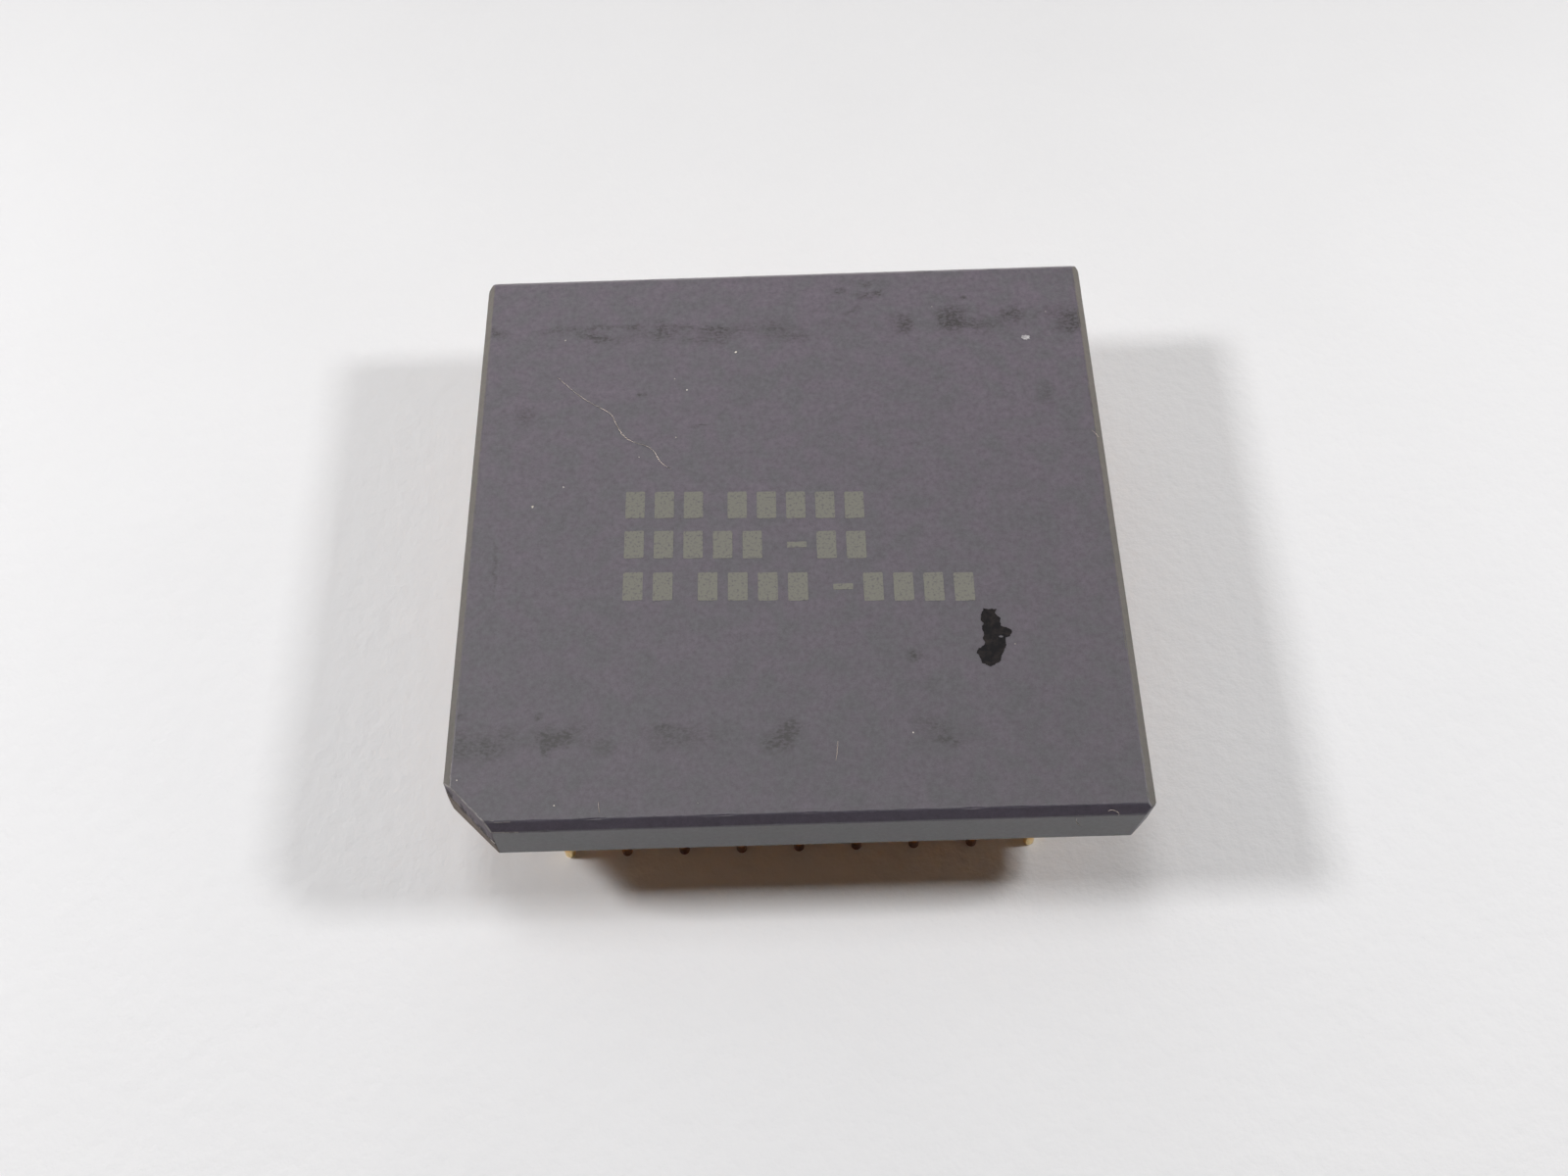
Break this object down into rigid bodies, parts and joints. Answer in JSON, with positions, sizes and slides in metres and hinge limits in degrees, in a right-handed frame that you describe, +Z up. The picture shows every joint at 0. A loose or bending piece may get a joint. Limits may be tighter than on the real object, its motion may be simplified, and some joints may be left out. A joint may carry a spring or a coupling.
{
  "type": "microprocessor chip",
  "caption": "Square ceramic pin grid array package for a processor die: plain bevelled top, cut index corner, gold-plated pins below and a soldered metal lid between them.",
  "frame": {"origin": "middle of the pin grid, on the plane of the pin tips", "axes": "+Z up, from the pin tips to the plain ceramic face; -Y is the front side, and the cut index corner is at -X and -Y"},
  "size_m": [0.029, 0.029, 0.0073],
  "materials": {
    "alumina": "matte",
    "gold_plating": "satin",
    "pin_plating": "satin",
    "braze": "satin",
    "gold_tin_solder": "gloss",
    "lid_plating": "satin",
    "silicon": "polished",
    "aluminium_wire": "satin"
  },
  "bodies": {
    "root": {"ceramic_body": "alumina", "seal_ring": "gold_plating", "lid_solder": "gold_tin_solder", "lid": "lid_plating", "die_floor_plating": "gold_plating", "die_attach": "gold_tin_solder", "die": "silicon", "bond_wires_front": "aluminium_wire", "bond_fingers_front": "gold_plating", "pin_pads_front": "gold_plating", "pin_brazes_front": "braze", "pins_outer_front": "pin_plating", "pins_inner_front": "pin_plating", "bond_wires_right": "aluminium_wire", "bond_fingers_right": "gold_plating", "pin_pads_right": "gold_plating", "pin_brazes_right": "braze", "pins_outer_right": "pin_plating", "pins_inner_right": "pin_plating", "bond_wires_back": "aluminium_wire", "bond_fingers_back": "gold_plating", "pin_pads_back": "gold_plating", "pin_brazes_back": "braze", "pins_outer_back": "pin_plating", "pins_inner_back": "pin_plating", "bond_wires_left": "aluminium_wire", "bond_fingers_left": "gold_plating", "pin_pads_left": "gold_plating", "pin_brazes_left": "braze", "pins_outer_left": "pin_plating", "pins_inner_left": "pin_plating", "standoff_pin_front_right": "pin_plating", "standoff_pin_back_right": "pin_plating", "standoff_pin_back_left": "pin_plating", "standoff_pin_front_left": "pin_plating"}
  },
  "joints": []
}
